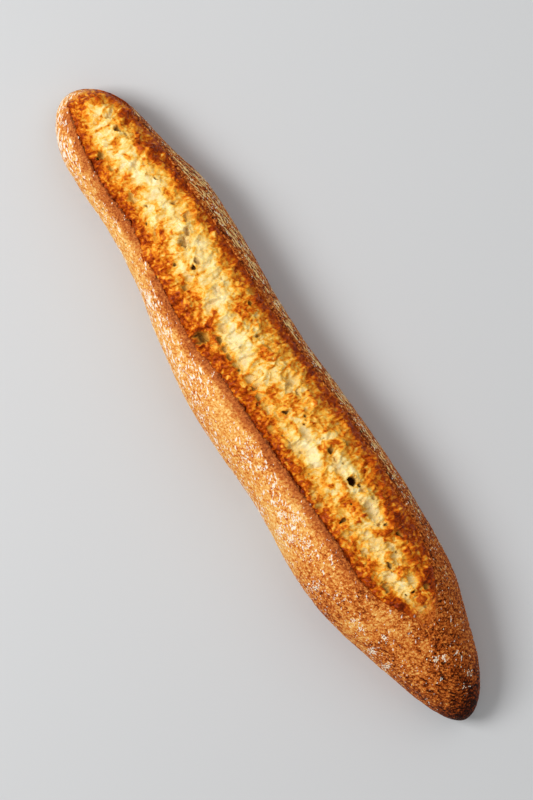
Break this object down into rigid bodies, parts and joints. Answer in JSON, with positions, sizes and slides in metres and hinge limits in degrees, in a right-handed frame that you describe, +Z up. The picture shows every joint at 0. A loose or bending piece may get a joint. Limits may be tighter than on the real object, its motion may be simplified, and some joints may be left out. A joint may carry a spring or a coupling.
{
  "type": "baguette",
  "caption": "Baguette with a golden floured crust, a long open burst slash along the top with a raised lip, a blunt end and a pointed nose.",
  "frame": {"origin": "middle of the loaf's box, in the plane of its flat underside", "axes": "+X along the loaf to its pointed nose, +Y to the side the burst leans to, +Z up"},
  "size_m": [0.3996, 0.0768, 0.0535],
  "materials": {
    "crust": "baked crust, dry and lightly floured, with a paler open crumb along the burst"
  },
  "bodies": {
    "root": {"baguette": "crust"}
  },
  "joints": []
}
